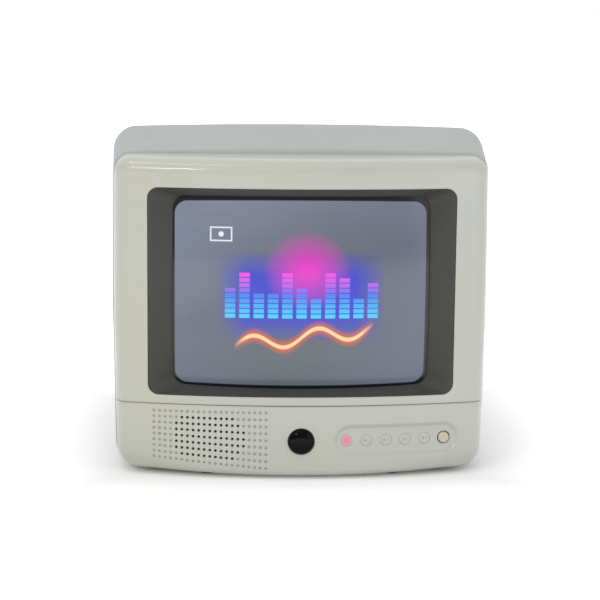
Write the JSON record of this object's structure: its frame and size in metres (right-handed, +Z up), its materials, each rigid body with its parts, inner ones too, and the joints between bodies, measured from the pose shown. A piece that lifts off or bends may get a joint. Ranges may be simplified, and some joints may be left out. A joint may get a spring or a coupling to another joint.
{
  "type": "portable television",
  "caption": "Small portable colour tube television with a bowed front, speaker grille, press buttons and a tapered rear cabinet.",
  "frame": {"origin": "centre of the bounding box in plan, at the underside of the feet", "axes": "+X to the viewer's right across the screen, -Y out of the screen, +Z up"},
  "size_m": [0.2978, 0.285, 0.2672],
  "materials": {
    "cabinet_plastic": "satin moulded plastic, light warm grey",
    "rear_plastic": "satin moulded plastic, light cool grey",
    "surround_plastic": "satin dark grey moulded plastic",
    "button_plastic": "satin moulded plastic, light warm grey",
    "power_button_plastic": "cream moulded plastic",
    "ir_filter": "glossy black infrared filter",
    "lamp_lens": "pink red lit lens",
    "screen_glass": "tinted glass over a lit picture",
    "funnel_glass": "glass with a black graphite coat",
    "neck_glass": "clear glass",
    "rubber": "matt rubber",
    "steel": "zinc plated steel",
    "dark_steel": "blackened steel",
    "tinned_steel": "tinned steel",
    "brown_resin": "moulded phenolic resin",
    "cream_plastic": "moulded nylon",
    "ferrite": "sintered ferrite",
    "copper": "enamelled copper wire",
    "red_insulation": "silicone insulation",
    "coil_tape": "wound black tape",
    "coil_tape_yellow": "wound yellow polyester tape",
    "braid": "tinned copper braid",
    "board_resin": "paper phenolic board",
    "black_resin": "moulded epoxy",
    "black_plastic": "moulded nylon",
    "capacitor_sleeve": "shrink sleeve",
    "aluminium": "extruded aluminium",
    "paper": "pressed paper"
  },
  "bodies": {
    "cabinet": {"front_cabinet": "cabinet_plastic", "lower_fascia": "cabinet_plastic", "screen_surround": "surround_plastic", "ir_window": "ir_filter", "standby_lamp": "lamp_lens", "rear_cabinet": "rear_plastic", "foot_front_left": "rubber", "foot_front_right": "rubber", "foot_rear_left": "rubber", "foot_rear_right": "rubber", "cabinet_screws": "steel", "crt_panel": "screen_glass", "shadow_mask": "dark_steel", "crt_funnel": "funnel_glass", "crt_neck": "neck_glass", "crt_base": "brown_resin", "rim_band": "steel", "crt_screws": "steel", "yoke_former": "cream_plastic", "yoke_core": "ferrite", "yoke_coils": "copper", "yoke_clamp": "steel", "magnet_rings": "ferrite", "anode_cap": "rubber", "anode_lead": "red_insulation", "degauss_coil": "coil_tape", "ground_braid": "braid", "neck_board": "board_resin", "neck_socket": "cream_plastic", "main_board": "board_resin", "flyback_transformer": "black_resin", "power_transformer": "coil_tape_yellow", "main_capacitor": "capacitor_sleeve", "small_capacitors": "capacitor_sleeve", "heat_sink": "aluminium", "power_transistors": "black_resin", "tuner_module": "tinned_steel", "aerial_socket": "tinned_steel", "scart_socket": "black_plastic", "headphone_socket": "black_plastic", "mains_switch": "black_plastic", "filter_choke": "copper", "fuse": "tinned_steel", "chips": "black_resin", "control_board": "board_resin", "tact_switches": "black_plastic", "ir_receiver": "black_resin", "speaker_basket": "steel", "speaker_cone": "paper", "speaker_magnet": "ferrite", "mains_gland": "black_plastic"},
    "mains_button": {"power_button": "power_button_plastic", "switch_plunger": "cream_plastic"},
    "program_down": {"program_down_button": "button_plastic"},
    "program_up": {"program_up_button": "button_plastic"},
    "volume_down": {"volume_down_button": "button_plastic"},
    "volume_up": {"volume_up_button": "button_plastic"},
    "focus_adjuster": {"focus_knob": "cream_plastic"},
    "screen_adjuster": {"screen_knob": "cream_plastic"}
  },
  "joints": [
    {"name": "mains_press", "type": "slide", "parent": "cabinet", "child": "mains_button", "axis": [0, 1, 0], "range_m": [0, 0.0035], "stiffness_N_per_m": 300, "springref_m": -0.004},
    {"name": "program_down_press", "type": "slide", "parent": "cabinet", "child": "program_down", "axis": [0, 1, 0], "range_m": [0, 0.0007], "stiffness_N_per_m": 200, "springref_m": -0.002},
    {"name": "program_up_press", "type": "slide", "parent": "cabinet", "child": "program_up", "axis": [0, 1, 0], "range_m": [0, 0.0007], "stiffness_N_per_m": 200, "springref_m": -0.002},
    {"name": "volume_down_press", "type": "slide", "parent": "cabinet", "child": "volume_down", "axis": [0, 1, 0], "range_m": [0, 0.0007], "stiffness_N_per_m": 200, "springref_m": -0.002},
    {"name": "volume_up_press", "type": "slide", "parent": "cabinet", "child": "volume_up", "axis": [0, 1, 0], "range_m": [0, 0.0007], "stiffness_N_per_m": 200, "springref_m": -0.002},
    {"name": "focus_turn", "type": "hinge", "parent": "cabinet", "child": "focus_adjuster", "pos_m": [-0.072, 0.0838, 0.0526], "axis": [0, 1, 0], "range_deg": [-135, 135]},
    {"name": "screen_turn", "type": "hinge", "parent": "cabinet", "child": "screen_adjuster", "pos_m": [-0.072, 0.0838, 0.0346], "axis": [0, 1, 0], "range_deg": [-135, 135]}
  ]
}
